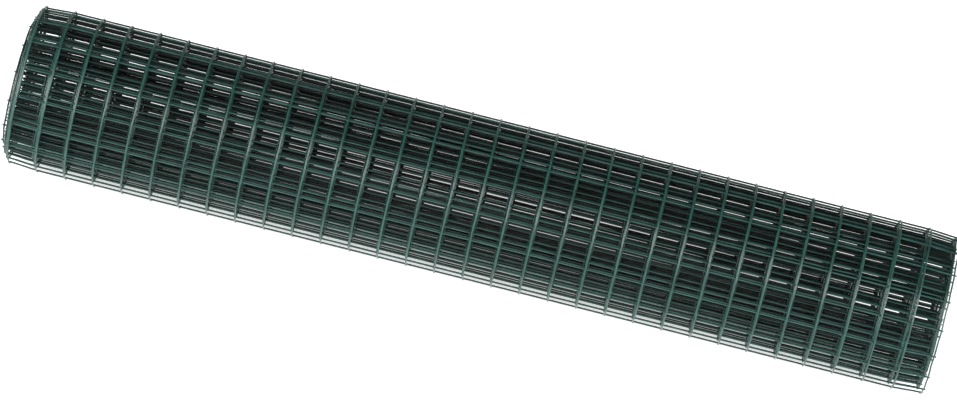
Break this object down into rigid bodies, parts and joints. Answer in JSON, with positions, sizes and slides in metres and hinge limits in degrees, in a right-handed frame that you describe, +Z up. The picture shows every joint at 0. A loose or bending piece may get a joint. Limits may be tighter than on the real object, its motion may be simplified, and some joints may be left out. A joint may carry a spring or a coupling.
{
  "type": "roll of wire fencing",
  "caption": "Long roll of square welded wire mesh in a dark green plastic coating, wound tight around an open bore, its turns showing as rings on both ends.",
  "frame": {"origin": "on the floor, straight below the middle of the roll", "axes": "+X along the roll's axis, +Z up, and the roll lies on its side"},
  "size_m": [0.804, 0.1418, 0.142],
  "materials": {
    "coated_wire": "dark green semi-gloss plastic coating over galvanised steel wire"
  },
  "bodies": {
    "root": {"mesh_roll": "coated_wire"}
  },
  "joints": []
}
